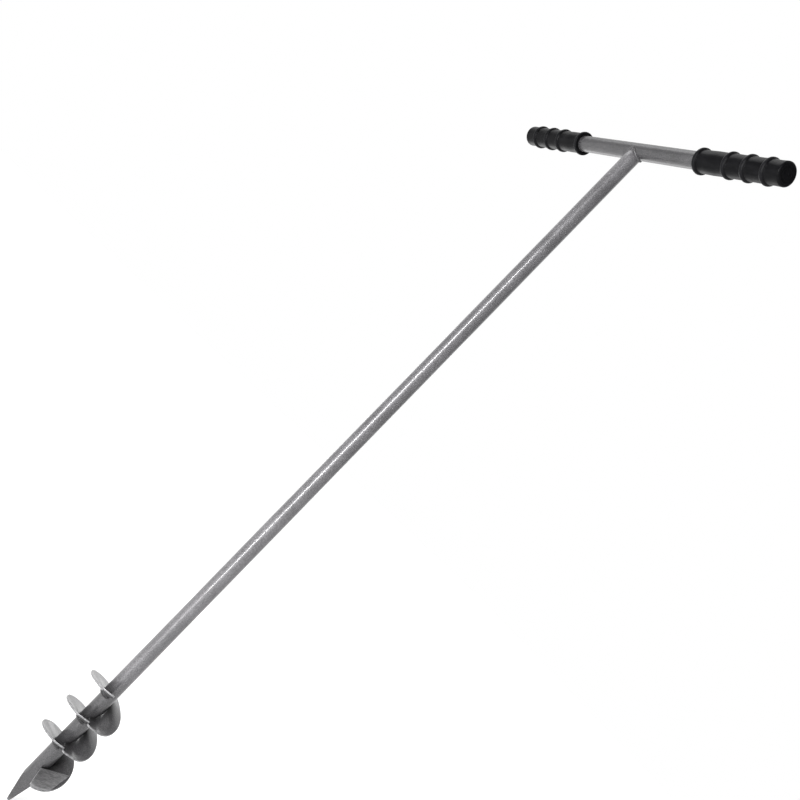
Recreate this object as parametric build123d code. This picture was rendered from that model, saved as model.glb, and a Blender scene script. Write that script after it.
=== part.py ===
from build123d import *
import math
import os

os.makedirs("parts", exist_ok=True)

# Hand auger for soil. Z runs up the shaft, the point of the spear is at z = 0 on the
# shaft's axis, and the crossbar lies along X. All lengths are millimetres, angles degrees.

# ---- main sizes -------------------------------------------------------------
bar_axis_z = 1080.0         # height of the crossbar's axis above the point
shaft_od = 20.0
shaft_wall = 2.0
bar_od = 21.0
bar_wall = 2.0
handle_span = 476.0         # over the closed ends of both grips

# ---- spear, pressed from the lower end of the shaft tube ----------------------
spear_angle = -28.0         # direction the pressed face looks
press_top_z = 51.0          # where the pressed face starts on the tube
shoulder_z = 33.0           # where the sides start to narrow
shoulder_half_thick = 4.4
tip_half_thick = 1.4
tip_half_width = 1.6
tip_round = 1.3

# ---- flights ------------------------------------------------------------------
flight_od = 70.0
plate_rise = 2.0            # plate thickness measured along Z
turn_pitch = 43.4           # climb of a plate's rim over its full turn
seam_drop = 4.0             # each turn starts this far below the end of the one under it
seam_angle = -21.5          # direction of the seams between the turns
seam_above_press = 47.5     # the middle turn's leading end, at the rim, above the pressed face
section_step = 9.0          # spacing of the sections a turn is drawn through
# Each turn is a split ring pulled open, so it climbs unevenly: (degrees from the leading
# edge, share of the pitch climbed), for the rim and for the edge on the shaft.
rim_climb = [(0, 0.0), (50, -0.03), (90, 0.11), (140, 0.35), (200, 0.60), (280, 0.83), (360, 1.0)]
inner_climb = [(0, -0.07), (30, 0.03), (60, 0.24), (90, 0.42), (180, 0.60), (270, 0.655), (360, 0.67)]

# ---- leading half of the lowest turn, bent flat and tilted down ----------------
lead_angle = -20.5          # leading edge of the lowest plate
tilt = 26.0                 # dip of the flat part
tilt_angle = -21.6          # direction of the dip
flat_lift = 4.4             # flat part's top face on the shaft's axis, above its own seam height
flat_end_angle = 66.0       # the flat part ends here
blend_end_angle = 140.0     # from here on the lowest turn climbs as the others do

# ---- cutting knife on the lowest turn ------------------------------------------
knife_thick = 2.2
knife_lead_angle = -23.0    # leading edge of the knife, ahead of the plate's own
knife_back_angle = 0.0      # direction square to the straight back edge
knife_back_gap = 3.4        # the back edge stands this far off the shaft
knife_side_angle = 47.0     # direction square to the cut-off outer corner
knife_side_inset = 3.6      # how far inside the rim that cut comes at its middle

# ---- welds ----------------------------------------------------------------------
bead_radius = 2.4           # ring of weld between shaft and crossbar
bead_sections = 20          # sections in each half of that ring
saddle_margin = 0.5         # its curve lies on the bar, or this far outside a shaft that is wider
flight_leg = 2.4            # leg of the fillet under each turn
seam_reach = 3.0            # the fill at a seam spreads this far over the lower plate
seam_weld_gap = 2.6         # the fill starts this far off the shaft
seam_weld_inset = 10.0      # and ends this far inside the rim
seam_below = 0.4            # the fill stays this far below the upper plate's face
fit_gap = 0.02              # left between curved plate and the faces it is welded to
knife_leg = 2.2
knife_weld_start_y = -2.0
knife_weld_inset = 8.3      # the weld stops this far before the rim

# ---- grips ------------------------------------------------------------------------
grip_clearance = 0.0        # push fit on the crossbar
grip_wall = 3.1
rib_height = 1.8
rib_width = 5.4
flange_width = 5.0
grip_length = 126.5
rib_from_end = (79.0, 51.5, 23.5)
cap_thick = 3.5
grip_end_round = 3.0

# ---- sizes that follow ---------------------------------------------------------------
shaft_r = shaft_od / 2
shaft_bore_r = shaft_r - shaft_wall
bar_r = bar_od / 2
bar_bore_r = bar_r - bar_wall
saddle_r = max(bar_r, shaft_r + saddle_margin)
flight_r = flight_od / 2
plate_inner_r = shaft_r + fit_gap
turn_step = turn_pitch - seam_drop           # height from one turn to the next
seam_z = press_top_z + seam_above_press
flat_centre_z = seam_z - turn_step + flat_lift
knife_back_reach = shaft_r + knife_back_gap
knife_side_reach = flight_r - knife_side_inset
knife_weld_end_y = math.sqrt(flight_r ** 2 - knife_back_reach ** 2) - knife_weld_inset
grip_bore_r = bar_r + grip_clearance
grip_r = grip_bore_r + grip_wall
rib_r = grip_r + rib_height
grip_end_x = handle_span / 2
bar_half = grip_end_x - cap_thick
spare = 2.0                                  # extra reach of solids that get trimmed


def polar(radius, angle, z=0.0):
    a = math.radians(angle)
    return Vector(radius * math.cos(a), radius * math.sin(a), z)


def upright(radius, z0, z1):
    return Pos(0, 0, z0) * Cylinder(radius, z1 - z0, align=(Align.CENTER, Align.CENTER, Align.MIN))


def along_x(radius, x0, x1, z):
    tube = Cylinder(radius, x1 - x0, align=(Align.CENTER, Align.CENTER, Align.MIN))
    return Pos(x0, 0, z) * Rot(0, 90, 0) * tube


def one_solid(shape):
    solids = shape.solids()
    return max(solids, key=lambda s: s.volume)


# ---- shaft ---------------------------------------------------------------------------
def spear_prism(inset):
    """Outline of the pressed end seen from its narrow side, stretched across the tube."""
    top = shaft_r + spare
    side = [
        (tip_half_thick - inset, 0.0), (shoulder_half_thick - inset, shoulder_z),
        (shaft_r - inset, press_top_z), (top, press_top_z), (top, bar_axis_z),
    ]
    outline = side + [(-y, z) for y, z in reversed(side)]
    face = make_face(Polyline([(0, y, z) for y, z in outline], close=True))
    return extrude(face, amount=top, dir=(1, 0, 0), both=True)


def taper_prism():
    """Outline of the spear seen square to its flat face."""
    top = shaft_r + spare
    shoulder_half_width = math.sqrt(shaft_r ** 2 - shoulder_half_thick ** 2)
    side = [(tip_half_width, 0.0), (shoulder_half_width, shoulder_z), (top, shoulder_z + spare),
            (top, bar_axis_z)]
    outline = side + [(-x, z) for x, z in reversed(side)]
    face = make_face(Polyline([(x, 0, z) for x, z in outline], close=True))
    return extrude(face, amount=top, dir=(0, 1, 0), both=True)


def make_shaft():
    turn = Rot(0, 0, spear_angle - 90)
    body = upright(shaft_r, 0, bar_axis_z) & spear_prism(0.0) & taper_prism()
    low = body.edges().sort_by(Axis.Z)[:4]
    body = fillet([e for e in low if e.center().Z < 0.01], tip_round)
    closed_z = shoulder_z - (shoulder_half_thick - shaft_wall) * shoulder_z / (
        shoulder_half_thick - tip_half_thick)
    bore = upright(shaft_bore_r, max(closed_z, shoulder_z), bar_axis_z) & spear_prism(shaft_wall)
    body = turn * (body - bore)
    return one_solid(body - along_x(bar_r, -shaft_od, shaft_od, bar_axis_z))


shaft_tube = make_shaft()

# ---- crossbar --------------------------------------------------------------------------
crossbar_tube = along_x(bar_r, -bar_half, bar_half, bar_axis_z) - along_x(
    bar_bore_r, -bar_half, bar_half, bar_axis_z)


def saddle_point(angle):
    p = polar(shaft_r, angle)
    return Vector(p.X, p.Y, bar_axis_z - math.sqrt(saddle_r ** 2 - p.Y ** 2))


def make_saddle_bead():
    """Ring of weld along the curve where the shaft meets the crossbar."""
    halves = []
    for first in (0.0, 180.0):
        sections = []
        for i in range(bead_sections + 1):
            angle = first + 180.0 * i / bead_sections
            ahead, behind = saddle_point(angle + 1.0), saddle_point(angle - 1.0)
            plane = Plane(origin=saddle_point(angle), x_dir=polar(1, angle), z_dir=ahead - behind)
            sections.append(plane * Circle(bead_radius))
        halves.append(loft(sections))
    ring = halves[0] + halves[1]
    ring = ring - upright(shaft_r, 0, bar_axis_z) - along_x(bar_r, -shaft_od, shaft_od, bar_axis_z)
    return one_solid(ring)


crossbar_weld = make_saddle_bead()


# ---- flights -------------------------------------------------------------------------------
def flat_z(radius, angle):
    """Top face of the flat leading part at a point."""
    drop = math.tan(math.radians(tilt)) * radius * math.cos(math.radians(angle - tilt_angle))
    return flat_centre_z - drop


def through(points, x):
    """Smooth curve through a few points, with each point's slope taken across its neighbours."""
    last = len(points) - 1
    k = max(i for i in range(last) if points[i][0] <= x or i == 0)

    def slope(i):
        (xa, ya), (xb, yb) = points[max(i - 1, 0)], points[min(i + 1, last)]
        return (yb - ya) / (xb - xa)

    (x0, y0), (x1, y1) = points[k], points[k + 1]
    t = (x - x0) / (x1 - x0)
    ease = t * t * (3 - 2 * t)
    bend = (x1 - x0) * (slope(k) * t * (1 - t) ** 2 - slope(k + 1) * t * t * (1 - t))
    return (1 - ease) * y0 + ease * y1 + bend


def pulled_z(radius, angle, number):
    """Top face of a turn pulled open from a split ring; number 0 is the lowest one."""
    along = angle - seam_angle
    share = (radius - shaft_r) / (flight_r - shaft_r)
    lift = (1 - share) * through(inner_climb, along) + share * through(rim_climb, along)
    return seam_z + (number - 1) * turn_step + turn_pitch * lift


def turn_z(radius, angle, number):
    if number > 0 or angle >= blend_end_angle:
        return pulled_z(radius, angle, number)
    t = (angle - flat_end_angle) / (blend_end_angle - flat_end_angle)
    t = min(max(t, 0.0), 1.0)
    share = t * t * (3 - 2 * t)
    return (1 - share) * flat_z(radius, angle) + share * pulled_z(radius, angle, number)


def radial_section(corners, angle):
    return make_face(Polyline([polar(r, angle, z) for r, z in corners], close=True))


def spread(start, end):
    """Angles from start to end, about one section step apart."""
    count = max(2, round((end - start) / section_step))
    return [start + (end - start) * i / count for i in range(count + 1)]


def plate_section(angle, number):
    z0, z1 = turn_z(plate_inner_r, angle, number), turn_z(flight_r, angle, number)
    return radial_section([(plate_inner_r, z0 - plate_rise), (flight_r, z1 - plate_rise),
                           (flight_r, z1), (plate_inner_r, z0)], angle)


def make_turn(number):
    start = lead_angle if number == 0 else seam_angle
    return loft([plate_section(a, number) for a in spread(start, seam_angle + 360)])


def weld_section(angle, number):
    """Triangle under the plate, against the shaft."""
    outer_r = plate_inner_r + flight_leg
    z0, z1 = (turn_z(r, angle, number) - plate_rise - fit_gap for r in (plate_inner_r, outer_r))
    return radial_section([(plate_inner_r, z0), (outer_r, z1), (plate_inner_r, z0 - flight_leg)],
                          angle)


def make_turn_weld(number):
    """Fillet of weld under a turn, along the shaft."""
    start = flat_end_angle if number == 0 else seam_angle
    return loft([weld_section(a, number) for a in spread(start, seam_angle + 360)])


def make_seam_weld(number):
    """Fill in the corner between a turn's leading edge and the end of the turn below it."""
    ends = []
    for r in (shaft_r + seam_weld_gap, flight_r - seam_weld_inset):
        back = seam_angle - math.degrees(seam_reach / r)
        low = turn_z(r, seam_angle + 360, number - 1) + fit_gap
        low_back = turn_z(r, back + 360, number - 1) + fit_gap
        high = turn_z(r, seam_angle, number) - seam_below
        corners = [polar(r, seam_angle, low), polar(r, seam_angle, high), polar(r, back, low_back)]
        ends.append(make_face(Polyline(corners, close=True)))
    return loft(ends, ruled=True)


flights = [make_turn(n) for n in range(3)]
turn_welds = [make_turn_weld(n) for n in range(3)]
seam_welds = [make_seam_weld(n) for n in (1, 2)]

# ---- knife --------------------------------------------------------------------------------------
def knife_slab():
    """Block between two planes parallel to the flat leading part."""
    size = 4 * flight_r
    dip = Rot(0, 0, tilt_angle) * Rot(0, tilt, 0)
    block = Box(size, size, knife_thick, align=(Align.CENTER, Align.CENTER, Align.MIN))
    return Pos(0, 0, flat_centre_z + fit_gap) * dip * block


def half_space(angle, reach, z0, z1):
    """Upright block holding the points further than reach from the axis towards angle."""
    size = 4 * flight_r
    block = Box(size, size, z1 - z0, align=(Align.MIN, Align.CENTER, Align.MIN))
    return Rot(0, 0, angle) * Pos(reach, 0, z0) * block


def make_knife():
    plate = knife_slab() & upright(flight_r, 0, seam_z)
    plate = plate & half_space(knife_back_angle, knife_back_reach, 0, seam_z)
    plate = plate & half_space(knife_lead_angle + 90, 0, 0, seam_z)
    plate = plate - half_space(knife_side_angle, knife_side_reach, 0, seam_z)
    return one_solid(plate)


def make_knife_weld():
    """Fillet along the back edge of the knife, on the flat part of the lowest turn."""
    ends = []
    x0, x1 = knife_back_reach - knife_leg, knife_back_reach
    for y in (knife_weld_start_y, knife_weld_end_y):
        low0, low1 = (flat_z(math.hypot(x, y), math.degrees(math.atan2(y, x))) + fit_gap
                      for x in (x0, x1))
        ends.append(make_face(Polyline([(x0, y, low0), (x1, y, low1), (x1, y, low1 + knife_leg)],
                                       close=True)))
    return one_solid(loft(ends, ruled=True))


cutting_knife = make_knife()
knife_weld = make_knife_weld()


# ---- grips ---------------------------------------------------------------------------------------
def make_grip(side):
    """Soft sleeve with a flange, three ribs and a closed end; side is 1 towards +X."""
    x0, x1 = grip_end_x - grip_length, grip_end_x
    sleeve = along_x(grip_r, x0, x1, bar_axis_z)
    sleeve = fillet(sleeve.edges().filter_by(GeomType.CIRCLE).sort_by(Axis.X)[-1], grip_end_round)
    flange = along_x(rib_r, x0, x0 + flange_width, bar_axis_z)
    sleeve = sleeve + fillet(flange.edges().filter_by(GeomType.CIRCLE), flange_width * 0.4)
    for back in rib_from_end:
        rib = along_x(rib_r, x1 - back - rib_width / 2, x1 - back + rib_width / 2, bar_axis_z)
        sleeve = sleeve + fillet(rib.edges().filter_by(GeomType.CIRCLE), rib_width * 0.4)
    sleeve = sleeve - along_x(grip_bore_r, x0, bar_half, bar_axis_z)
    if side < 0:
        sleeve = mirror(sleeve, about=Plane.YZ)
    return one_solid(sleeve)


grip_right = make_grip(1)
grip_left = make_grip(-1)

parts = {
    "shaft_tube": shaft_tube,
    "crossbar_tube": crossbar_tube,
    "crossbar_weld": crossbar_weld,
    "flight_lower": flights[0],
    "flight_middle": flights[1],
    "flight_upper": flights[2],
    "flight_weld_lower": turn_welds[0],
    "flight_weld_middle": turn_welds[1],
    "flight_weld_upper": turn_welds[2],
    "seam_weld_lower": seam_welds[0],
    "seam_weld_upper": seam_welds[1],
    "cutting_knife": cutting_knife,
    "knife_weld": knife_weld,
    "grip_right": grip_right,
    "grip_left": grip_left,
}

for name, shape in parts.items():
    print(name, len(shape.solids()), round(shape.volume, 1), shape.bounding_box())
    export_step(shape, f"parts/{name}.step")
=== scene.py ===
import math

import bpy
import numpy as np
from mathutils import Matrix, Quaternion, Vector


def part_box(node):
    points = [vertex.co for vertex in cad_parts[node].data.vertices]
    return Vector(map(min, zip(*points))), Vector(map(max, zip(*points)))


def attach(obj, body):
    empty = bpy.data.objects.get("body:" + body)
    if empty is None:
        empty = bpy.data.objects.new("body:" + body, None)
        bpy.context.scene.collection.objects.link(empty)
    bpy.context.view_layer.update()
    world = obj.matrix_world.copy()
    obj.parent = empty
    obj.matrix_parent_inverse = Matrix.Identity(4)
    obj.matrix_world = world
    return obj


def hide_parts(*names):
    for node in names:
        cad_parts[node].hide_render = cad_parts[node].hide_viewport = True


# Hand auger for soil: steel tube shaft, crossbar with two soft grips, three welded plate turns
# and a knife. Lengths are metres, angles degrees, Z runs up the shaft from the point.
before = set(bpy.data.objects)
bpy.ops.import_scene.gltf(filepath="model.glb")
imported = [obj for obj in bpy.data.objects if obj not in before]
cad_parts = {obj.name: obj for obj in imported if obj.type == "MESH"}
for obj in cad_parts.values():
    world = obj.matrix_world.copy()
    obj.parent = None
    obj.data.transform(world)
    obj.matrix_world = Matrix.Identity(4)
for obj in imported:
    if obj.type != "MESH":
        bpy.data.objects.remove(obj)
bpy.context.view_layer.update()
mm = 0.001


# places taken from the frame
def high(node):
    return np.array(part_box(node)[1])


def low(node):
    return np.array(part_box(node)[0])


barZ = float(high("crossbar_tube")[2] + low("crossbar_tube")[2]) / 2
barRadius = float(high("crossbar_tube")[1])
shaftRadius = float(high("shaft_tube")[1])
turnRadius = float(high("flight_middle")[0]) - 0.01 * mm
gripInner = float(low("grip_right")[0])
gripOuter = float(high("grip_right")[0])
ribRadius = float(high("grip_right")[1])
turnStep = float(high("flight_upper")[2] - high("flight_middle")[2])
turnTop = float(high("flight_middle")[2])
print("frame loaded, crossbar at", round(barZ, 4))


def gridFaces(rows, cols, wrapRows, wrapCols):
    # quads between neighbouring grid points, as index quadruples
    i, j = np.meshgrid(np.arange(rows if wrapRows else rows - 1),
                       np.arange(cols if wrapCols else cols - 1), indexing="ij")
    i, j = i.ravel(), j.ravel()
    k, l = (i + 1) % rows, (j + 1) % cols
    return np.stack([i * cols + j, i * cols + l, k * cols + l, k * cols + j], axis=1)


def capFaces(first, cols, hub, flip):
    # triangles from one row of points to a hub point
    j = np.arange(cols)
    a, b = first + j, first + (j + 1) % cols
    return np.stack([b, a, np.full(cols, hub)] if flip else [a, b, np.full(cols, hub)], axis=1)


def signedVolume(points, triangles):
    # a sixth of the sum of each triangle's triple product with the origin
    a, b, c = (points[triangles[:, n]] for n in range(3))
    return float(np.einsum("ij,ij->i", a, np.cross(b, c)).sum()) / 6


def makePiece(name, grid, material, wrapRows=False, worn=None, stands=()):
    # closed skin over a grid of points; each row is a loop, and end rows get a fan to their middle
    rows, cols = grid.shape[:2]
    points = grid.reshape(-1, 3)
    quads = gridFaces(rows, cols, wrapRows, True)
    caps = np.zeros((0, 3), int)
    if not wrapRows:
        points = np.vstack([points, grid[0].mean(axis=0), grid[-1].mean(axis=0)])
        caps = np.vstack([capFaces(0, cols, rows * cols, True),
                          capFaces((rows - 1) * cols, cols, rows * cols + 1, False)])
    split = np.vstack([quads[:, [0, 1, 2]], quads[:, [0, 2, 3]], caps])
    if signedVolume(points, split) < 0:
        quads, caps = quads[:, ::-1], caps[:, ::-1]
    mesh = bpy.data.meshes.new(name)
    mesh.from_pydata(points.tolist(), [], quads.tolist() + caps.tolist())
    mesh.polygons.foreach_set("use_smooth", np.ones(len(mesh.polygons), bool))
    wornLayer = mesh.attributes.new("worn", "FLOAT", "POINT")
    values = np.zeros(len(points))
    if worn is not None:
        values[:rows * cols] = worn.ravel()
    wornLayer.data.foreach_set("value", values)
    mesh.materials.append(material)
    piece = bpy.data.objects.new(name, mesh)
    bpy.context.scene.collection.objects.link(piece)
    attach(piece, "root")
    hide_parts(*stands)
    print("made", name, len(points), "points")
    return piece


def hermite(table, x):
    # smooth curve through (x, y) pairs, each slope taken across the neighbouring points
    xs, ys = np.array(table, float).T
    prev, nxt = np.maximum(np.arange(len(xs)) - 1, 0), np.minimum(np.arange(len(xs)) + 1, len(xs) - 1)
    slopes = (ys[nxt] - ys[prev]) / (xs[nxt] - xs[prev])
    k = np.clip(np.searchsorted(xs, x, side="right") - 1, 0, len(xs) - 2)
    width = xs[k + 1] - xs[k]
    t = (x - xs[k]) / width
    ease = t * t * (3 - 2 * t)
    bend = width * (slopes[k] * t * (1 - t) ** 2 - slopes[k + 1] * t * t * (1 - t))
    return (1 - ease) * ys[k] + ease * ys[k + 1] + bend


def softLimit(value, limit, sharpness):
    # value held below limit, with a rounded corner where they meet
    return value / (1 + np.abs(value / limit) ** sharpness) ** (1 / sharpness)


def sway(x, y, seed, strength):
    # slow unevenness: a sum of a few sines whose directions and phases follow from the seed
    total = 0
    for k in range(1, 5):
        total = total + np.sin(x * (0.7 + 0.9 * k) + y * (1.3 * k - 2.1) + seed * 1.7 * k) / k
    return strength * total / 2


class Nodes:
    # short way to build a node tree

    def __init__(self, name):
        self.material = bpy.data.materials.new(name)
        self.material.use_nodes = True
        self.tree = self.material.node_tree
        self.tree.nodes.clear()
        self.output = self.add("ShaderNodeOutputMaterial")
        self.shader = self.add("ShaderNodeBsdfPrincipled")
        self.join(self.shader.outputs[0], self.output.inputs[0])
        self.place = self.add("ShaderNodeTexCoord").outputs["Object"]

    def add(self, kind, **settings):
        node = self.tree.nodes.new(kind)
        for key, value in settings.items():
            setattr(node, key, value)
        return node

    def join(self, source, target):
        self.tree.links.new(source, target)

    def put(self, node, **values):
        for key, value in values.items():
            socket = node.inputs[key.replace("_", " ")]
            if hasattr(value, "links"):
                self.join(value, socket)
            else:
                socket.default_value = value
        return node

    def mapped(self, scale):
        node = self.add("ShaderNodeMapping")
        node.inputs["Scale"].default_value = scale
        self.join(self.place, node.inputs["Vector"])
        return node.outputs[0]

    def noise(self, scale, detail=3.0, vector=None, rough=0.55):
        node = self.add("ShaderNodeTexNoise")
        self.put(node, Scale=scale, Detail=detail, Roughness=rough)
        self.join(vector or self.place, node.inputs["Vector"])
        return node.outputs[0]

    def cells(self, scale):
        node = self.add("ShaderNodeTexVoronoi", feature="SMOOTH_F1")
        self.put(node, Scale=scale)
        self.join(self.place, node.inputs["Vector"])
        return node.outputs["Distance"]

    def ramp(self, value, *stops):
        # stops are (position, grey or colour)
        node = self.add("ShaderNodeValToRGB")
        band = node.color_ramp
        while len(band.elements) < len(stops):
            band.elements.new(0.5)
        for element, (at, colour) in zip(band.elements, stops):
            element.position = at
            rgb = (colour,) * 3 if isinstance(colour, (int, float)) else colour
            element.color = (*rgb, 1)
        self.join(value, node.inputs[0])
        return node.outputs[0]

    def blendColour(self, share, first, second, kind="MIX"):
        node = self.add("ShaderNodeMix", data_type="RGBA", blend_type=kind)
        for socket, value in ((node.inputs[0], share), (node.inputs[6], first),
                              (node.inputs[7], second)):
            if hasattr(value, "links"):
                self.join(value, socket)
            else:
                socket.default_value = value if isinstance(value, float) else (*value, 1)
        return node.outputs[2]

    def maths(self, kind, first, second=0.0):
        node = self.add("ShaderNodeMath", operation=kind)
        for socket, value in ((node.inputs[0], first), (node.inputs[1], second)):
            if hasattr(value, "links"):
                self.join(value, socket)
            else:
                socket.default_value = value
        return node.outputs[0]

    def between(self, value, lowest, highest):
        # value from 0 to 1 spread over lowest to highest
        node = self.add("ShaderNodeMapRange")
        self.put(node, Value=value, To_Min=lowest, To_Max=highest)
        return node.outputs[0]

    def eased(self, value, start, end, first, last):
        # first up to start, last from end on, and a smooth change between them
        node = self.add("ShaderNodeMapRange", interpolation_type="SMOOTHSTEP")
        self.put(node, Value=value, From_Min=start, From_Max=end, To_Min=first, To_Max=last)
        return node.outputs[0]

    def distance(self, *axes):
        # distance from the object's origin, counting only the axes given as 1
        part = self.add("ShaderNodeVectorMath", operation="MULTIPLY")
        part.inputs[1].default_value = axes
        self.join(self.place, part.inputs[0])
        node = self.add("ShaderNodeVectorMath", operation="LENGTH")
        self.join(part.outputs[0], node.inputs[0])
        return node.outputs["Value"]

    def bump(self, height, strength, distance, under=None):
        node = self.add("ShaderNodeBump")
        self.put(node, Height=height, Strength=strength, Distance=distance)
        if under is not None:
            self.join(under, node.inputs["Normal"])
        return node.outputs[0]

    def attribute(self, name):
        node = self.add("ShaderNodeAttribute")
        node.attribute_name = name
        return node.outputs["Fac"]


paint = {
    "dark": (0.080, 0.078, 0.083),
    "mid": (0.150, 0.147, 0.154),
    "light": (0.265, 0.260, 0.270),
    "fleckScale": 900.0,       # silver flecks a millimetre across
    "dimpleScale": 330.0,      # hammered dimples three millimetres across
    "dimpleDepth": 0.6 * mm,
    "fleckDepth": 0.2 * mm,
    "toneScale": 28.0,         # slow change of tone along the tube
    "dustScale": 140.0,
    "dustColour": (0.075, 0.072, 0.070),
    "rubScale": 420.0,         # breaks the worn edges up
    "metallic": 0.35,
    "roughness": (0.36, 0.50),
    "wornColour": (0.50, 0.50, 0.51),
    # reach of the painted shade in the corner against the shaft
    "cornerShadeReach": 13 * mm,
    "shadeLow": 150 * mm,       # painted shade: darker towards the lower end
    "shadeHigh": 210 * mm,
    "shadeDark": 0.50,
    "coatRoughness": 0.13,
}


def hammeredPaint(name, lift=1.0, dimple=0.10, grime=0.25, coat=0.70, corner=1.0):
    # silver-grey hammered enamel: flecks, shallow dimples, slow tone changes, worn edges that on the
    # plates' rims and ends also stand for a painted highlight, painted shade in the corner against the
    # shaft as a share of the paint's lightness left there, and painted shade towards the lower end
    n = Nodes(name)
    flecks = n.noise(paint["fleckScale"], 4.0)
    tone = n.noise(paint["toneScale"], 3.0)
    fine = n.ramp(flecks, (0.30, paint["dark"]), (0.50, paint["mid"]), (0.72, paint["light"]))
    cloudy = n.ramp(tone, (0.30, 0.82 * lift), (0.70, 1.12 * lift))
    colour = n.blendColour(1.0, fine, cloudy, "MULTIPLY")
    dust = n.ramp(n.noise(paint["dustScale"], 5.0), (0.52, 0.0), (0.75, grime))
    colour = n.blendColour(dust, colour, paint["dustColour"])
    # painted shade in the corner against the shaft: darker close to it, as set by corner
    near = n.eased(n.distance(1, 1, 0), shaftRadius, shaftRadius + paint["cornerShadeReach"], corner, 1.0)
    colour = n.blendColour(1.0, colour, near, "MULTIPLY")
    # painted shade: the paint is darker towards the lower end
    lowShade = n.eased(n.distance(0, 0, 1), paint["shadeLow"], paint["shadeHigh"], paint["shadeDark"], 1.0)
    colour = n.blendColour(1.0, colour, lowShade, "MULTIPLY")
    # worn edges turn lighter; on the plates' rims and ends this is also a painted highlight
    rub = n.noise(paint["rubScale"], 4.0)
    worn = n.maths("MULTIPLY", n.attribute("worn"), n.ramp(rub, (0.30, 0.25), (0.60, 1.0)))
    colour = n.blendColour(worn, colour, paint["wornColour"])
    dimples = n.cells(paint["dimpleScale"])
    hammered = n.bump(dimples, dimple, paint["dimpleDepth"])
    speckled = n.bump(flecks, 0.06, paint["fleckDepth"], hammered)
    n.put(n.shader, Base_Color=colour, Metallic=paint["metallic"], Normal=speckled,
          Roughness=n.between(tone, *paint["roughness"]),
          Coat_Weight=coat, Coat_Roughness=paint["coatRoughness"])
    return n.material


ground = {
    "marks": (1500.0, 55.0, 1500.0),     # fine marks drawn out along the back edge
    "bands": (420.0, 16.0, 420.0),       # wider bands the same way
    "dark": (0.17, 0.168, 0.172),
    "mid": (0.29, 0.287, 0.292),
    "light": (0.45, 0.445, 0.452),
    "wornColour": (0.55, 0.55, 0.56),
    "rubScale": 380.0,
    "markDepth": 0.2 * mm,
    "roughness": (0.34, 0.50),
}


def knifePaint(name):
    # thin paint over ground steel: fine grinding marks along the back edge, lighter than the rest
    n = Nodes(name)
    marks = n.noise(1.0, 5.0, n.mapped(ground["marks"]))
    bands = n.noise(1.0, 2.0, n.mapped(ground["bands"]))
    colour = n.ramp(marks, (0.28, ground["dark"]), (0.52, ground["mid"]), (0.75, ground["light"]))
    colour = n.blendColour(1.0, colour, n.ramp(bands, (0.3, 0.72), (0.7, 1.12)), "MULTIPLY")
    rub = n.ramp(n.noise(ground["rubScale"]), (0.3, 0.35), (0.6, 1.0))
    worn = n.maths("MULTIPLY", n.attribute("worn"), rub)
    colour = n.blendColour(worn, colour, ground["wornColour"])
    n.put(n.shader, Base_Color=colour, Metallic=0.6, Normal=n.bump(marks, 0.22, ground["markDepth"]),
          Roughness=n.between(bands, *ground["roughness"]), Coat_Weight=0.08, Coat_Roughness=0.3)
    return n.material


pvc = {
    "grainScale": 2600.0,      # leathery grain well under a millimetre
    "grainDepth": 0.1 * mm,
    "smears": (60.0, 240.0, 240.0),      # drawn out along the handle
    "smearDepth": 0.8 * mm,
    "scuffs": (900.0, 120.0, 120.0),     # run round the handle
    "dark": (0.0025, 0.0025, 0.0030),
    "light": (0.0060, 0.0060, 0.0068),
    "dusty": (0.020, 0.020, 0.022),
    "roughness": (0.24, 0.38),
    "shine": 0.06,
}


def gripPvc(name):
    # soft black dipped sleeve: satin, with faint scuffs, dust and a leathery micro grain
    n = Nodes(name)
    grain = n.noise(pvc["grainScale"], 3.0)
    smear = n.noise(1.0, 4.0, n.mapped(pvc["smears"]))
    scuff = n.noise(1.0, 6.0, n.mapped(pvc["scuffs"]))
    colour = n.ramp(smear, (0.30, pvc["dark"]), (0.70, pvc["light"]))
    colour = n.blendColour(n.ramp(scuff, (0.62, 0.0), (0.80, 0.25)), colour, pvc["dusty"])
    colour = n.blendColour(n.maths("MULTIPLY", n.attribute("worn"), 0.3), colour, pvc["dusty"])
    uneven = n.bump(smear, 0.10, pvc["smearDepth"])
    n.put(n.shader, Base_Color=colour, Normal=n.bump(grain, 0.12, pvc["grainDepth"], uneven),
          Roughness=n.between(smear, *pvc["roughness"]), Specular_IOR_Level=pvc["shine"])
    return n.material


tubePaint = hammeredPaint("hammered shaft paint", 1.04)
# the crossbar's copy of the paint is darker: painted shade
barShadedPaint = hammeredPaint("hammered crossbar paint with painted shade", 0.46, coat=0.25)
# the plates keep 0.12 of their lightness against the shaft: painted shade
platePaint = hammeredPaint("hammered plate paint", 1.1, 0.14, grime=0.35, coat=0.5, corner=0.12)
# the beads' copy is darker, painted shade in the corners they fill, and dustier
beadShadedPaint = hammeredPaint("weld bead paint with painted shade", 0.55, 0.5, grime=0.6, coat=0.05)
knifeFinish = knifePaint("ground knife paint")
gripSkin = gripPvc("black grip")
print("materials ready")

# shaft with its pressed spear
spear = {
    "facing": -28.0,           # direction the pressed face looks
    "pressTop": 51 * mm,       # the press starts here
    "shoulder": 33 * mm,       # the sides narrow from here down
    "shoulderHalf": 4.4 * mm,  # half thickness at the shoulders
    "tipHalf": 1.4 * mm,       # half thickness at the point
    "tipWide": 1.6 * mm,       # half width at the point
    "tipRound": 1.6 * mm,
    "pressCorner": 45.0,       # higher is sharper
    "sideCorner": 60.0,
    "freeAbove": 3.0,          # slope at which the press lets go of the tube above its top
    "sideEnd": 1.15,           # the taper lets go at this share of the shoulder's height
    "closeRows": 34 * mm,      # rows stand close together up to this far above the press
    "tipRows": 8,
    "spearRows": 90,
    "tubeRows": 60,
    "around": 128,
}


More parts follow.
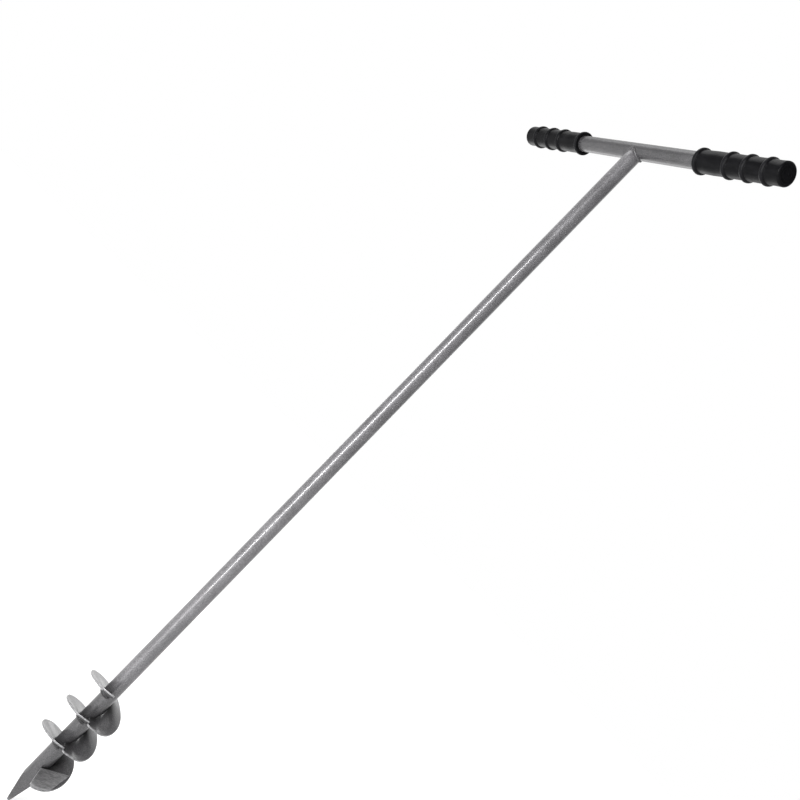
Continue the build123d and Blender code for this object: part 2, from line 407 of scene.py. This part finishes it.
def shaftGrid(p):
    # circle of the tube whose thickness is limited by the press and whose width by the taper,
    # both limits growing in straight lines with height; the last millimetres round off the point
    t = np.linspace(0, 2 * math.pi, p["around"], endpoint=False)
    quarter = np.linspace(0.12, 1, p["tipRows"]) * math.pi / 2
    lowRows = np.concatenate([
        p["tipRound"] * (1 - np.cos(quarter)),
        np.linspace(p["tipRound"], p["pressTop"] + p["closeRows"], p["spearRows"])[1:]])
    z = np.concatenate([lowRows, np.linspace(lowRows[-1], barZ, p["tubeRows"])[1:]])[:, None]
    press = (p["shoulderHalf"] - p["tipHalf"]) / p["shoulder"]
    flare = (shaftRadius - p["shoulderHalf"]) / (p["pressTop"] - p["shoulder"])
    above = np.maximum(z - p["shoulder"], 0)
    half = p["tipHalf"] + press * np.minimum(z, p["shoulder"]) + flare * above
    half = half + p["freeAbove"] * np.maximum(z - p["pressTop"], 0)
    shoulderWide = math.sqrt(shaftRadius ** 2 - p["shoulderHalf"] ** 2)
    wide = p["tipWide"] + (shoulderWide - p["tipWide"]) * z / p["shoulder"]
    wide = np.where(z > p["shoulder"] * p["sideEnd"], wide * 3, wide)
    tip = np.sqrt(np.clip(1 - ((p["tipRound"] - z) / p["tipRound"]) ** 2, 0, 1))
    tip = np.where(z > p["tipRound"], 1, tip)
    u = softLimit(shaftRadius * np.cos(t)[None, :], wide, p["sideCorner"]) * tip
    v = softLimit(shaftRadius * np.sin(t)[None, :], half, p["pressCorner"]) * tip
    a = math.radians(p["facing"])
    x = v * math.cos(a) - u * math.sin(a)
    y = v * math.sin(a) + u * math.cos(a)
    grid = np.stack([x, y, np.broadcast_to(z, x.shape)], axis=2)
    ridge = np.clip(1 - np.abs(np.sin(t)) * 4, 0, 1)[None, :] * np.clip(1 - z / p["shoulder"], 0, 1)
    return grid, np.clip(ridge + np.clip(1 - z / (6 * mm), 0, 1) * 0.5, 0, 0.8)


grid, worn = shaftGrid(spear)
makePiece("shaftSkin", grid, tubePaint, worn=worn, stands=["shaft_tube"])

# plate turns, each a split ring pulled open
turn = {
    "thick": 2.0 * mm,
    "rise": 43.4 * mm,         # climb of the rim over a whole turn
    "rimClimb": [(0, 0.0), (50, -0.03), (90, 0.11), (140, 0.35), (200, 0.60), (280, 0.83), (360, 1.0)],
    "innerClimb": [(0, -0.07), (30, 0.03), (60, 0.24), (90, 0.42), (180, 0.60), (270, 0.655), (360, 0.67)],
    "seam": -21.5,             # direction of the seams
    "edgeRound": 0.5 * mm,
    "innerOverlap": 0.3 * mm,  # the plate starts this far inside the shaft's skin
    "cornerRound": 2.5 * mm,   # outer corners of each plate's ends
    "endWearAndHighlight": 0.5,            # bare metal showing at each plate's ends, also a painted highlight on them
    # lighter rims: bare metal, also a painted highlight along them
    "rimWearAndHighlight": 0.55,
    "endWearReach": 0.8 * mm,
    "unevenness": 0.25 * mm,
    "sections": 200,
    "facePoints": 13,          # points across a face and round each edge of the section
    "edgePoints": 5,
}
lowest = {
    "start": -20.5,            # leading edge
    "tilt": 26.0,              # dip of the flat part and its direction
    "tiltTowards": -21.6,
    "lift": 4.4 * mm,          # flat part on the axis, above the turn's own seam height
    "flatEnd": 66.0,
    "blendEnd": 140.0,
    # less wear and painted highlight at the lowest turn's ends
    "endWearAndHighlight": 0.12,
}
seamHeight = turnTop - turn["rise"]      # leading rim of the middle turn
flatCentre = seamHeight - turnStep + lowest["lift"]


def flatTop(x, y):
    # height of the tilted flat part over a place on the ground plan
    a = math.radians(lowest["tiltTowards"])
    return flatCentre - math.tan(math.radians(lowest["tilt"])) * (x * math.cos(a) + y * math.sin(a))


def turnTopAt(radius, angle, number):
    # top face: climb shared between the curve at the shaft and the curve at the rim; the lowest
    # turn starts flat and eases into that climb
    share = (radius - shaftRadius) / (turnRadius - shaftRadius)
    along = angle - turn["seam"]
    climb = (1 - share) * hermite(turn["innerClimb"], along) + share * hermite(turn["rimClimb"], along)
    pulled = seamHeight + (number - 1) * turnStep + turn["rise"] * climb
    if number > 0:
        return pulled
    t = np.clip((angle - lowest["flatEnd"]) / (lowest["blendEnd"] - lowest["flatEnd"]), 0, 1)
    ease = t * t * (3 - 2 * t)
    a = np.radians(angle)
    return (1 - ease) * flatTop(radius * np.cos(a), radius * np.sin(a)) + ease * pulled


def turnGrid(number):
    # a rounded strip section, thin along Z, carried round the shaft along the turn's climb
    p = turn
    start = lowest["start"] if number == 0 else p["seam"]
    angle = np.linspace(start, p["seam"] + 360, p["sections"])[:, None]
    e, t = p["edgeRound"], p["thick"]
    inner = shaftRadius - p["innerOverlap"]
    arc = np.radians(np.linspace(0, 90, p["edgePoints"]))
    face = np.linspace(0, 1, p["facePoints"], endpoint=False)
    rimR = np.concatenate([turnRadius - e + e * np.sin(arc), turnRadius - e + e * np.cos(arc)])
    rimH = np.concatenate([-e + e * np.cos(arc), -t + e - e * np.sin(arc)])
    flatR = inner + (turnRadius - e - inner) * face
    r = np.concatenate([flatR, rimR, flatR[::-1]])[None, :]
    h = np.concatenate([0 * face, rimH, 0 * face - t])[None, :]
    fromStart = np.radians(angle - start) * turnRadius
    fromEnd = np.radians(p["seam"] + 360 - angle) * turnRadius
    near = np.clip(1 - np.minimum(fromStart, fromEnd) / p["cornerRound"], 0, 1)
    cut = p["cornerRound"] * (1 - np.sqrt(1 - near ** 2))
    share = (r - inner) / (turnRadius - inner)
    r = r - cut * share
    lift = sway(angle / 22, share * 2.2, number + 1, p["unevenness"]) * share
    z = turnTopAt(r, np.broadcast_to(angle, (p["sections"], r.shape[1])), number) + h + lift
    a = np.radians(angle)
    # rims and ends get wear, which also paints a highlight there
    onRim = np.zeros(h.shape[1])
    onRim[p["facePoints"] + 1:-p["facePoints"] - 1] = p["rimWearAndHighlight"]
    endWearAndHighlight = lowest["endWearAndHighlight"] if number == 0 else p["endWearAndHighlight"]
    atEnd = np.clip(1 - np.minimum(fromStart, fromEnd) / p["endWearReach"], 0, 1) * endWearAndHighlight
    return (np.stack([r * np.cos(a), r * np.sin(a), z], axis=2),
            np.maximum(onRim[None, :], np.broadcast_to(atEnd, z.shape)))


for number, place in enumerate(["lower", "middle", "upper"]):
    grid, worn = turnGrid(number)
    makePiece("turnPlate_" + place, grid, platePaint, worn=worn,
              stands=["flight_" + place])

# knife lying on the flat part of the lowest turn
knife = {
    "thick": 2.2 * mm,         # square to its face
    "lead": -23.0,             # direction of its leading edge
    "back": 13.4 * mm,         # straight back edge, from the axis
    "sideFacing": 47.0,        # cut-off outer corner
    "sideReach": turnRadius - 3.6 * mm,
    "cornerSoft": 1.1 * mm,
    "edgeRound": 0.45 * mm,
    "faceWear": 0.05,
    "edgeWear": 0.22,
    "lift": 0.02 * mm,         # off the plate it lies on
    "faceRings": (0.45, 0.94), # rings of points on each face, as shares of the outline
    "rimPoints": 60,
    "edgePoints": 5,
    "around": 260,
}


def knifeOutline(p):
    # back edge, cut-off side, rim arc and leading edge, sampled evenly and softened at corners
    side = math.radians(p["sideFacing"])
    lead = math.radians(p["lead"])
    foot = np.array([p["back"], p["back"] * math.tan(lead)])
    heel = np.array([p["back"], (p["sideReach"] - p["back"] * math.cos(side)) / math.sin(side)])
    rimAngle = side - math.acos(p["sideReach"] / turnRadius)
    arc = np.linspace(rimAngle, lead, p["rimPoints"])
    rim = turnRadius * np.stack([np.cos(arc), np.sin(arc)], axis=1)
    corners = np.vstack([foot, heel, rim, foot])
    step = np.hypot(*np.diff(corners, axis=0).T)
    run = np.concatenate([[0], np.cumsum(step)])
    even = np.linspace(0, run[-1], p["around"], endpoint=False)
    loop = np.stack([np.interp(even, run, corners[:, k]) for k in range(2)], axis=1)
    reach = int(p["cornerSoft"] / (run[-1] / p["around"]))
    return sum(np.roll(loop, k, axis=0) for k in range(-reach, reach + 1)) / (2 * reach + 1)


def knifeGrid(p):
    # the outline pulled in at both faces by a quarter circle, lying on the tilted flat part
    loop = knifeOutline(p)
    ahead = np.roll(loop, -1, axis=0) - np.roll(loop, 1, axis=0)
    outward = np.stack([-ahead[:, 1], ahead[:, 0]], axis=1)
    outward = outward / np.linalg.norm(outward, axis=1)[:, None]
    outward = outward * np.sign(np.sum(outward * (loop - loop.mean(axis=0)), axis=1).mean())
    rise = p["thick"] / math.cos(math.radians(lowest["tilt"]))
    e = p["edgeRound"]
    arc = np.radians(np.linspace(0, 90, p["edgePoints"]))
    inset = np.concatenate([e - e * np.sin(arc), e - e * np.cos(arc)])
    height = np.concatenate([e - e * np.cos(arc), rise - e + e * np.sin(arc)])
    xy = loop[None, :, :] - inset[:, None, None] * outward[None, :, :]
    middle = loop.mean(axis=0)
    rings = np.array(p["faceRings"])[:, None, None]
    below = middle + (xy[0] - middle) * rings
    above = middle + (xy[-1] - middle) * rings[::-1]
    xy = np.concatenate([below, xy, above])
    height = np.concatenate([np.zeros(len(rings)), height, np.full(len(rings), rise)])
    z = flatTop(xy[..., 0], xy[..., 1]) + height[:, None] + p["lift"]
    worn = np.full(len(height), p["faceWear"])
    upperRound = len(height) - len(rings)
    worn[upperRound - p["edgePoints"] + 1:upperRound] = p["edgeWear"]
    return np.dstack([xy, z]), np.broadcast_to(worn[:, None], z.shape)


grid, worn = knifeGrid(knife)
makePiece("knifePlate", grid, knifeFinish, worn=worn, stands=["cutting_knife"])

# weld beads
bead = {
    "ripple": 1.7 * mm,        # spacing of the ripples left by the torch
    "rippleDepth": 0.16,
    "lumpiness": 0.10,
    "taper": 3.0 * mm,         # length over which an open bead's ends close
    "around": 22,
    "turnRadius": 1.9 * mm,    # half thickness of the beads under the turns
    "crossbarRadius": 1.8 * mm,
    "turnClear": 1.35,         # room kept under the turn's face, in bead radii
    "turnStart": 2.0,          # degrees after the seam
    "seamRadius": 2.1 * mm,
    "seamTall": 1.35,          # a seam bead's height as a share of its width
    "seamFrom": 1.2 * mm,      # its start off the shaft and its end inside the rim
    "seamInset": 9.5 * mm,
    "seamBehind": 0.6 * mm,    # its middle stands behind the leading edge and under its face
    "seamUnder": 0.4 * mm,
    "knifeRadius": 1.7 * mm,
    "knifeRun": (-2 * mm, 24 * mm),      # its two ends along the back edge
    "sunk": 0.35 * mm,         # how far a bead's middle lies off the corner it fills
    "seamRows": 70,
    "knifeRows": 120,
    "turnRows": 420,
    "crossbarRows": 260,
}


def beadGrid(path, outward, radius, seed, closed=False, squash=1.0):
    # a circle carried along the path, its radius rippled, made lumpy and closed at open ends
    p = bead
    ahead = np.roll(path, -1, axis=0) - np.roll(path, 1, axis=0)
    if not closed:
        ahead = np.gradient(path, axis=0)
    ahead = ahead / np.linalg.norm(ahead, axis=1)[:, None]
    outward = outward - np.sum(outward * ahead, axis=1)[:, None] * ahead
    outward = outward / np.linalg.norm(outward, axis=1)[:, None]
    across = np.cross(ahead, outward)
    run = np.concatenate([[0], np.cumsum(np.linalg.norm(np.diff(path, axis=0), axis=1))])
    total = run[-1] + (np.linalg.norm(path[0] - path[-1]) if closed else 0)
    ripples = max(3, round(total / p["ripple"]))
    t = np.linspace(0, 2 * math.pi, p["around"], endpoint=False)[None, :]
    phase = (run / total)[:, None] * 2 * math.pi
    scallop = np.abs(np.sin(ripples * phase / 2 + 0.6 * np.cos(t)))
    lumps = sway(3 * np.sin(phase) + np.cos(t), 3 * np.cos(phase) + np.sin(t), seed, 1.0)
    r = radius * (1 + p["rippleDepth"] * (scallop - 0.6) + p["lumpiness"] * lumps)
    if not closed:
        end = np.clip(np.minimum(run, total - run) / p["taper"], 0.02, 1)[:, None]
        r = r * np.sqrt(1 - (1 - end) ** 2)
    return (path[:, None, :] + (r * np.cos(t))[..., None] * outward[:, None, :]
            + squash * (r * np.sin(t))[..., None] * across[:, None, :])


def saddlePath():
    # where the shaft meets the crossbar: the shaft's circle lifted to the bar's underside
    a = np.linspace(0, 2 * math.pi, bead["crossbarRows"], endpoint=False)
    x, y = shaftRadius * np.cos(a), shaftRadius * np.sin(a)
    z = barZ - np.sqrt(np.maximum(barRadius ** 2 - y ** 2, 0))
    away = np.stack([np.cos(a), np.sin(a), np.full(a.shape, -0.6)], axis=1)
    return np.stack([x, y, z], axis=1), away


path, outward = saddlePath()
makePiece("crossbarBead", beadGrid(path, outward, bead["crossbarRadius"], 3, closed=True), beadShadedPaint,
          wrapRows=True, stands=["crossbar_weld"])


def underTurnPath(number):
    # runs in the corner between the shaft and the underside of a turn
    start = lowest["flatEnd"] if number == 0 else turn["seam"] + bead["turnStart"]
    angle = np.linspace(start, turn["seam"] + 360, bead["turnRows"])
    a = np.radians(angle)
    r = shaftRadius + bead["sunk"]
    top = turnTopAt(np.full(angle.shape, r), angle, number)
    steep = np.hypot(1, np.gradient(top, a) / r)   # more room where the turn climbs steeply
    z = top - np.maximum(turn["thick"] + bead["sunk"],
                         bead["turnClear"] * bead["turnRadius"] * steep)
    outward = np.stack([np.cos(a), np.sin(a), -np.ones(angle.shape)], axis=1)
    return np.stack([r * np.cos(a), r * np.sin(a), z], axis=1), outward


for number, place in enumerate(["lower", "middle", "upper"]):
    path, outward = underTurnPath(number)
    makePiece("turnBead_" + place, beadGrid(path, outward, bead["turnRadius"], 5 + number), beadShadedPaint,
              stands=["flight_weld_" + place])


def seamPath(number):
    # along the end of the turn below, in the corner under the next turn's leading edge
    r = np.linspace(shaftRadius + bead["seamFrom"], turnRadius - bead["seamInset"], bead["seamRows"])
    angle = turn["seam"] - np.degrees(bead["seamBehind"] / r)
    lower = turnTopAt(r, angle + 360, number - 1)
    upper = turnTopAt(r, np.full(r.shape, turn["seam"]), number) - turn["thick"]
    z = np.maximum(lower, (lower + upper) / 2 - bead["seamUnder"])
    a = np.radians(angle)
    away = np.stack([np.sin(a), -np.cos(a), np.full(r.shape, 0.5)], axis=1)
    return np.stack([r * np.cos(a), r * np.sin(a), z], axis=1), away


for number, place in ((1, "lower"), (2, "upper")):
    path, outward = seamPath(number)
    seam = beadGrid(path, outward, bead["seamRadius"], 11 + number, squash=bead["seamTall"])
    makePiece("seamBead_" + place, seam, beadShadedPaint, stands=["seam_weld_" + place])


def knifeBackPath():
    # straight along the back edge of the knife, on the flat part
    y = np.linspace(*bead["knifeRun"], bead["knifeRows"])
    x = np.full(y.shape, knife["back"] - 0.3 * mm)
    z = flatTop(x, y) + 0.4 * mm
    outward = np.broadcast_to(np.array([-0.8, 0, 0.6]), (len(y), 3))
    return np.stack([x, y, z], axis=1), outward


path, outward = knifeBackPath()
makePiece("knifeBead", beadGrid(path, outward, bead["knifeRadius"], 17), beadShadedPaint, stands=["knife_weld"])

# soft grips
grip = {
    "wall": 3.1 * mm,
    "ribBack": (79.0 * mm, 51.5 * mm, 23.5 * mm),   # rib middles, from the closed end
    "ribHalf": 3.3 * mm,
    "flange": 5.0 * mm,
    "endRound": 3.2 * mm,
    "endDome": 0.6 * mm,
    "closedEnd": 3.5 * mm,
    "sag": 0.18 * mm,          # the sleeve sinks a little between its ribs
    "partingLine": 0.10 * mm,
    "softness": 0.10 * mm,     # slow unevenness of the outside
    "boreGap": 0.03 * mm,
    "lipRound": 0.8 * mm,      # rounding at the mouth of the bore
    "ringRadius": 6.2 * mm,    # moulded ring on the closed end
    "ringTall": 0.35 * mm,
    "gateRadius": 1.2 * mm,    # dimple in its middle
    "gateDeep": 0.5 * mm,
    "boreRows": 12,
    "skinRows": 330,
    "cornerRows": 14,
    "discRows": 26,
    "around": 168,
}


def outerRadius(p, back):
    # sleeve radius at a distance from the closed end: bumps for the ribs, a rounded flange
    base = barRadius + p["wall"]
    tall = ribRadius - base
    r = np.full(back.shape, base)
    for middle in p["ribBack"]:
        d = np.abs(back - middle) / p["ribHalf"]
        r = r + tall * np.clip(1 - np.clip(d, 0, 1) ** 2.4, 0, 1) ** 0.9
    mouth = gripOuter - gripInner
    d = np.abs(back - (mouth - p["flange"] / 2)) / (p["flange"] / 2 + 0.4 * mm)
    r = r + tall * np.clip(1 - np.clip(d, 0, 1) ** 3.2, 0, 1) ** 0.6
    bay = np.sin(np.clip(back / mouth, 0, 1) * math.pi * 5) ** 2
    return r - p["sag"] * bay * (r < base + 0.1 * mm)


def gripGrid(p, side):
    # profile from the bottom of the bore out to the mouth, over the ribs and round the closed
    # end, turned about the crossbar's axis, with two faint parting lines
    mouth = gripOuter - gripInner
    base = barRadius + p["wall"]
    bore = np.stack([np.linspace(p["closedEnd"], mouth - 0.6 * mm, p["boreRows"]),
                     np.full(p["boreRows"], barRadius + p["boreGap"])], axis=1)
    lip = np.array([[mouth - 0.15 * mm, barRadius + 0.25 * mm], [mouth, barRadius + p["lipRound"]]])
    back = np.concatenate([mouth - np.array([0, 0.1, 0.3, 0.6]) * mm,
                           np.linspace(mouth - mm, p["endRound"], p["skinRows"])])
    skin = np.stack([back, outerRadius(p, back)], axis=1)
    skin[0, 1] = base - 0.2 * mm
    skin[1, 1] = base + 0.6 * mm
    arc = np.radians(np.linspace(0, 90, p["cornerRows"]))[1:]
    e = p["endRound"]
    corner = np.stack([e - e * np.sin(arc), base - e + e * np.cos(arc)], axis=1)
    corner[:, 0] = corner[:, 0] + p["endDome"] * np.sin(arc) * 0.6
    r = np.linspace(base - e, 0.4 * mm, p["discRows"])[1:]
    ring = p["ringTall"] * np.exp(-((r - p["ringRadius"]) / (0.5 * mm)) ** 2)
    gate = p["gateDeep"] * np.clip((r - p["gateRadius"]) / mm, -1, 0)
    disc = np.stack([p["endDome"] * 0.6 * (r / (base - e)) ** 2 + ring + 0.4 * mm + gate, r], axis=1)
    disc[:, 0] = np.minimum(disc[:, 0], corner[-1, 0] + 0.4 * mm)
    profile = np.vstack([bore, lip, skin, corner, disc])
    x = (gripOuter - profile[:, 0])[:, None]
    t = np.linspace(0, 2 * math.pi, p["around"], endpoint=False)[None, :]
    r = profile[:, 1][:, None]
    seamline = np.exp(-(np.sin(t - 0.5) / 0.045) ** 2)
    outside = (r > base - 0.3 * mm) & (r < ribRadius - 0.12 * mm)
    r = r + p["partingLine"] * seamline * outside
    soft = sway(x / (9 * mm), np.cos(t) + 2 * np.sin(t), 4 + side, p["softness"])
    r = r + np.where(outside, soft - p["softness"], 0)
    grid = np.stack([side * np.broadcast_to(x, r.shape), r * np.cos(t), barZ + r * np.sin(t)], axis=2)
    worn = np.clip((r - base - 0.5 * mm) / mm, 0, 1)
    return grid, worn


for side, place in ((1, "right"), (-1, "left")):
    grid, worn = gripGrid(grip, side)
    makePiece("gripSleeve_" + place, grid, gripSkin, worn=worn, stands=["grip_" + place])

# crossbar, carried over from the frame
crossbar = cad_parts["crossbar_tube"]
crossbar.data.materials.clear()
crossbar.data.materials.append(barShadedPaint)
print("pieces ready")

# floor, light and camera
studio = {
    "floorColour": (0.93, 0.93, 0.93),
    "glowFrom": 0.3,           # the floor turns paler with distance, to meet the white sky
    "glowTo": 2.2,
    "nearGlow": 0.42,
    "farGlow": 0.66,
    "whiteTowards": 147.9,     # direction of the white side
    "skySpread": (0.10, 0.75, 0.22, 1.0),      # from, to, strength before, strength after
    "floorHalf": 14.0,
    "floorDrop": 0.5 * mm,
}


def makeFloor(p):
    h, z = p["floorHalf"], -p["floorDrop"]
    mesh = bpy.data.meshes.new("floor")
    mesh.from_pydata([(-h, -h, z), (h, -h, z), (h, h, z), (-h, h, z)], [], [(0, 1, 2, 3)])
    n = Nodes("pale floor")
    glow = n.eased(n.distance(1, 1, 1), p["glowFrom"], p["glowTo"], p["nearGlow"], p["farGlow"])
    n.put(n.shader, Base_Color=(*p["floorColour"], 1), Roughness=0.9, Specular_IOR_Level=0.1,
          Emission_Color=(1, 1, 1, 1), Emission_Strength=glow)
    mesh.materials.append(n.material)
    floor = bpy.data.objects.new("floor", mesh)
    bpy.context.scene.collection.objects.link(floor)


def makeSky(p):
    # white behind the object, easing to a soft grey on the camera's side
    world = bpy.data.worlds.new("studio")
    world.use_nodes = True
    tree = world.node_tree
    shade = tree.nodes["Background"]
    shade.inputs["Color"].default_value = (1, 1, 1, 1)
    direction = tree.nodes.new("ShaderNodeTexCoord").outputs["Generated"]
    facing = tree.nodes.new("ShaderNodeVectorMath")
    facing.operation = "DOT_PRODUCT"
    a = math.radians(p["whiteTowards"])
    facing.inputs[1].default_value = (math.cos(a), math.sin(a), 0)
    spread = tree.nodes.new("ShaderNodeMapRange")
    spread.interpolation_type = "SMOOTHSTEP"
    for name, value in zip(("From Min", "From Max", "To Min", "To Max"), p["skySpread"]):
        spread.inputs[name].default_value = value
    tree.links.new(direction, facing.inputs[0])
    tree.links.new(facing.outputs["Value"], spread.inputs["Value"])
    tree.links.new(spread.outputs[0], shade.inputs["Strength"])
    bpy.context.scene.world = world
    bpy.context.scene.view_settings.view_transform = "Standard"


softBoxes = [
    # name, place, aimed at, size, power
    ("stripLight", (0.60, -1.04, 0.64), (0, 0, 0.64), (0.10, 1.16), 19.0),
    ("backLight", (-1.15, 0.70, 0.66), (0, 0, 0.12), (0.9, 0.7), 3.6),
    ("leftTopLight", (-1.0, -0.9, 2.3), (0, 0, 0.4), (1.2, 1.2), 9.0),
    ("topLight", (0.3, 0.3, 2.9), (0, 0, 0.5), (1.8, 1.8), 8.0),
]


def makeLight(name, place, target, size, power):
    data = bpy.data.lights.new(name, "AREA")
    data.shape = "RECTANGLE"
    data.size, data.size_y = size
    data.energy = power
    lamp = bpy.data.objects.new(name, data)
    lamp.location = place
    lamp.rotation_mode = "QUATERNION"
    lamp.rotation_quaternion = (Vector(target) - Vector(place)).to_track_quat("-Z", "Y")
    bpy.context.scene.collection.objects.link(lamp)


cameraPlace = {
    "distance": 1.0885,        # from the shaft's axis, on the ground plan
    "around": -31.92,          # direction from the axis to the camera
    "height": 0.5786,
    "lookAround": 147.92,      # direction it looks in
    "lookUp": 3.85,
    "roll": 44.22,
    "lens": 40.57,
}


def makeCamera(p):
    data = bpy.data.cameras.new("camera")
    data.lens = p["lens"]
    data.sensor_width = 36
    data.clip_start, data.clip_end = 0.01, 100
    camera = bpy.data.objects.new("camera", data)
    a, look, up = (math.radians(p[k]) for k in ("around", "lookAround", "lookUp"))
    camera.location = (p["distance"] * math.cos(a), p["distance"] * math.sin(a), p["height"])
    ahead = Vector((math.cos(look) * math.cos(up), math.sin(look) * math.cos(up), math.sin(up)))
    level = ahead.to_track_quat("-Z", "Y")
    camera.rotation_mode = "QUATERNION"
    camera.rotation_quaternion = level @ Quaternion((0, 0, 1), math.radians(p["roll"]))
    bpy.context.scene.collection.objects.link(camera)
    bpy.context.scene.camera = camera


makeFloor(studio)
makeSky(studio)
for box in softBoxes:
    makeLight(*box)
makeCamera(cameraPlace)
print("studio ready")
